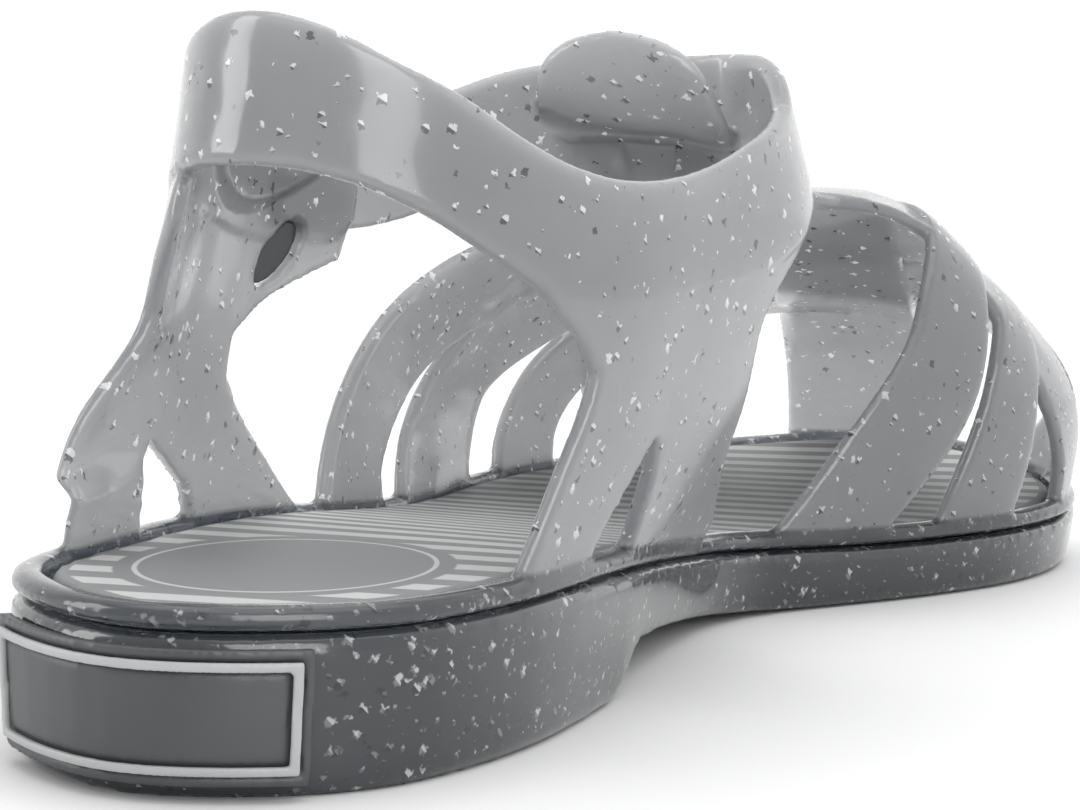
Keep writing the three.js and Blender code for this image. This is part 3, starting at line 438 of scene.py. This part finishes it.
def makeInsolePrint():
    material, tree, shader = newMaterial("insolePrint")
    link = tree.links.new
    place = addNode(tree, "ShaderNodeTexCoord").outputs["Object"]
    look = insoleLook
    grain = noiseAt(tree, place, Scale=look["weaveScale"], Detail=2.0)
    worn = noiseAt(tree, place, Scale=look["wornScale"], Detail=3.0)
    split = addNode(tree, "ShaderNodeSeparateXYZ")
    link(place, split.inputs["Vector"])
    across = mathNode(tree, "MULTIPLY_ADD", split.outputs["X"], -look["barLean"], split.outputs["Y"])
    start = (look["barStart"] + soleOrigin["y"] - look["barLean"] * soleOrigin["x"]) * mm
    turns = mathNode(tree, "DIVIDE", mathNode(tree, "SUBTRACT", across, start), look["barPitch"] * mm)
    part = mathNode(tree, "FRACT", mathNode(tree, "ADD", turns, look["barShift"]))
    off = mathNode(tree, "ABSOLUTE", mathNode(tree, "SUBTRACT", part, 0.5))
    half = look["barShare"] / 2
    soft = look["barSoft"]
    bars = rangeNode(tree, off, half - soft, half + soft, 1.0, 0.0)
    edge = addNode(tree, "ShaderNodeAttribute", attribute_name="edgeDistance")
    outer, inner = ((look["border"] + side * look["borderSoft"]) * mm for side in (-1, 1))
    within = rangeNode(tree, edge.outputs["Fac"], outer, inner, 0.0, 1.0)
    color = mixColor(tree, mathNode(tree, "MULTIPLY", bars, within), look["grey"], look["pale"])
    oval = look["oval"]
    offsets = []
    for axis, origin, centre, reach in zip("XY", soleOrigin.values(), oval["centre"], oval["half"]):
        moved = mathNode(tree, "SUBTRACT", split.outputs[axis], (centre + origin) * mm)
        share = mathNode(tree, "DIVIDE", moved, reach * mm)
        offsets.append(mathNode(tree, "POWER", mathNode(tree, "ABSOLUTE", share), 2.0))
    reach = mathNode(tree, "SQRT", mathNode(tree, "ADD", *offsets))
    fieldEnds = (oval["field"] - oval["fieldSoft"], oval["field"] + oval["fieldSoft"])
    field = rangeNode(tree, reach, *fieldEnds, 1.0, 0.0)
    color = mixColor(tree, field, color, oval["color"])
    ringWidth = oval["ring"] / oval["half"][1]
    line = mathNode(tree, "ABSOLUTE", mathNode(tree, "SUBTRACT", reach, 1.0))
    ring = rangeNode(tree, line, *(ringWidth * share for share in oval["ringEdge"]), 1.0, 0.0)
    color = mixColor(tree, ring, color, look["pale"])
    soil = rangeNode(tree, worn, *cloudRange, 0.0, look["soil"])
    link(mixColor(tree, soil, color, look["grey"]), shader.inputs["Base Color"])
    shader.inputs["Roughness"].default_value = look["rough"]
    addBump(tree, shader, grain, 0.25, fineBump)
    return material


def makeInsole():
    piece = copyNode("insole", "printedInsole")
    look = insoleLook
    creaseByAngle(piece, look["creaseAngle"])
    applyModifier(piece, "SUBSURF", levels=look["levels"], render_levels=look["levels"])
    applyModifier(piece, "REMESH", mode="VOXEL", voxel_size=look["voxel"])
    applyModifier(piece, "SMOOTH", factor=0.5, iterations=look["smoothing"])
    pickOnly(piece)
    bpy.ops.object.shade_smooth()
    # how far each point lies from the sheet's edge, for the plain border of the print
    points = piece.data.vertices
    rim = [point.co for point in points if abs(point.normal.z) < look["rimNormal"]]
    tree = kdtree.KDTree(len(rim))
    for index, spot in enumerate(rim):
        tree.insert(Vector((spot.x, spot.y, 0)), index)
    tree.balance()
    distances = [tree.find(Vector((point.co.x, point.co.y, 0)))[2] for point in points]
    attribute = piece.data.attributes.new("edgeDistance", "FLOAT", "POINT")
    attribute.data.foreach_set("value", distances)
    finishPiece(piece, "insole", makeInsolePrint())


makeInsole()


def plasticMaterial(name, look):
    material, tree, shader = newMaterial(name)
    place = addNode(tree, "ShaderNodeTexCoord").outputs["Object"]
    cloud = noiseAt(tree, place, Scale=look["scale"], Detail=4.0)
    spread = rangeNode(tree, cloud, *cloudRange, 0.0, 1.0)
    color = mixColor(tree, spread, look["deep"], look["pale"])
    tree.links.new(color, shader.inputs["Base Color"])
    tree.links.new(rangeNode(tree, spread, 0.0, 1.0, *look["rough"]), shader.inputs["Roughness"])
    grain = noiseAt(tree, place, Scale=look["grain"], Detail=2.0)
    addBump(tree, shader, grain, 0.15, fineBump)
    return material


smallParts = {
    "heel_plate": {
        "piece": "barePlate",
        "shape": {"creaseAngle": 30.0, "levels": 2, "voxel": 0.0004, "smoothing": 2, "mostTriangles": 60000},
        "look": {"scale": 60.0, "grain": 2500.0, "deep": (0.06, 0.063, 0.067, 1),
                 "pale": (0.078, 0.081, 0.085, 1), "rough": (0.36, 0.46)},
    },
    "heel_plate_frame": {
        "piece": "plateBorder",
        "shape": {"creaseAngle": 30.0, "levels": 2, "voxel": 0.00024, "smoothing": 2, "mostTriangles": 60000},
        "look": {"scale": 80.0, "grain": 2500.0, "deep": (0.44, 0.445, 0.45, 1),
                 "pale": (0.5, 0.505, 0.51, 1), "rough": (0.35, 0.5)},
    },
    "strap_stud": {
        "piece": "tabStud",
        "shape": {"creaseAngle": 40.0, "levels": 2, "voxel": 0.0002, "smoothing": 3, "mostTriangles": 60000},
        "look": {"scale": 90.0, "grain": 2500.0, "deep": (0.035, 0.037, 0.04, 1),
                 "pale": (0.06, 0.063, 0.067, 1), "rough": (0.25, 0.35)},
    },
}
for nodeName, part in smallParts.items():
    piece = softened(nodeName, part["piece"], part["shape"])
    finishPiece(piece, nodeName, plasticMaterial(part["piece"] + "Plastic", part["look"]))

# Studio: pale paper floor, white surround, two tall softboxes and one above
studio = {
    "paper": (0.96, 0.96, 0.96, 1),
    "paperSize": 8.0,
    "paperRough": 0.7,
    "paperGloss": 0.1,
    "surround": {"behindCamera": 0.84, "behindShoe": 1.24},
    "surroundReach": 0.9,
    "lights": {
        "softboxAbove": {"place": (0.05, 0.05, 0.9), "size": (0.9, 0.9), "power": 2.2, "fills": True},
        "softboxLeft": {"place": (-0.663, -0.381, 0.27), "size": (0.3, 0.75), "power": 2.6, "fills": False},
        "softboxRight": {"place": (0.485, -0.486, 0.27), "size": (0.36, 0.75), "power": 3.2, "fills": False},
    },
    "aim": (0, -0.08, 0.04),
}
bpy.ops.object.select_all(action="DESELECT")
bpy.ops.mesh.primitive_plane_add(size=studio["paperSize"], location=(0, 0, 0))
floor = bpy.context.object
floor.name = "studioFloor"
paper, paperTree, paperShader = newMaterial("studioPaper")
paperShader.inputs["Base Color"].default_value = studio["paper"]
paperShader.inputs["Roughness"].default_value = studio["paperRough"]
paperShader.inputs["Specular IOR Level"].default_value = studio["paperGloss"]
floor.data.materials.append(paper)

world = bpy.data.worlds.new("studioSurround")
bpy.context.scene.world = world
world.use_nodes = True
worldTree = world.node_tree
surround = worldTree.nodes["Background"]
surround.inputs["Color"].default_value = (1, 1, 1, 1)
direction = addNode(worldTree, "ShaderNodeSeparateXYZ")
coordinates = addNode(worldTree, "ShaderNodeTexCoord")
worldTree.links.new(coordinates.outputs["Generated"], direction.inputs["Vector"])
reach = studio["surroundReach"]
levels = studio["surround"].values()
bright = rangeNode(worldTree, direction.outputs["Y"], -reach, reach, *levels)
worldTree.links.new(bright, surround.inputs["Strength"])
bpy.context.scene.view_settings.view_transform = "Standard"

for name, setup in studio["lights"].items():
    light = bpy.data.lights.new(name, "AREA")
    light.shape = "RECTANGLE"
    light.size, light.size_y = setup["size"]
    light.energy = setup["power"]
    lamp = bpy.data.objects.new(name, light)
    lamp.location = setup["place"]
    lamp.visible_diffuse = setup["fills"]
    beam = Vector(studio["aim"]) - Vector(setup["place"])
    lamp.rotation_euler = beam.to_track_quat("-Z", "Y").to_euler()
    bpy.context.scene.collection.objects.link(lamp)

# The camera stands where the photograph's did, in the sole's own millimetres and radians
photoCamera = {
    "place": (136.822, -214.753, 63.223),
    "yaw": -0.413754,
    "pitch": 0.09765,
    "roll": 0.036654,
    "focal": 2726.69,
    "imageWidth": 1080,
    "sensor": 36,
}
yaw, pitch, roll = photoCamera["yaw"], photoCamera["pitch"], photoCamera["roll"]
flat = math.cos(pitch)
forward = Vector((math.sin(yaw) * flat, math.cos(yaw) * flat, -math.sin(pitch)))
level = Vector((math.cos(yaw), -math.sin(yaw), 0))
upward = level.cross(forward)
right = level * math.cos(roll) + upward * math.sin(roll)
above = upward * math.cos(roll) - level * math.sin(roll)
place = Vector(photoCamera["place"]) + Vector((soleOrigin["x"], soleOrigin["y"], 0))
lens = bpy.data.cameras.new("photoCamera")
lens.sensor_fit = "HORIZONTAL"
lens.sensor_width = photoCamera["sensor"]
lens.lens = photoCamera["sensor"] * photoCamera["focal"] / photoCamera["imageWidth"]
lens.clip_start = 0.01
stand = bpy.data.objects.new("photoCamera", lens)
bpy.context.scene.collection.objects.link(stand)
turned = Matrix((right, above, -forward)).transposed().to_4x4()
stand.matrix_world = Matrix.Translation(place * mm) @ turned
bpy.context.scene.camera = stand
print("studio ready")
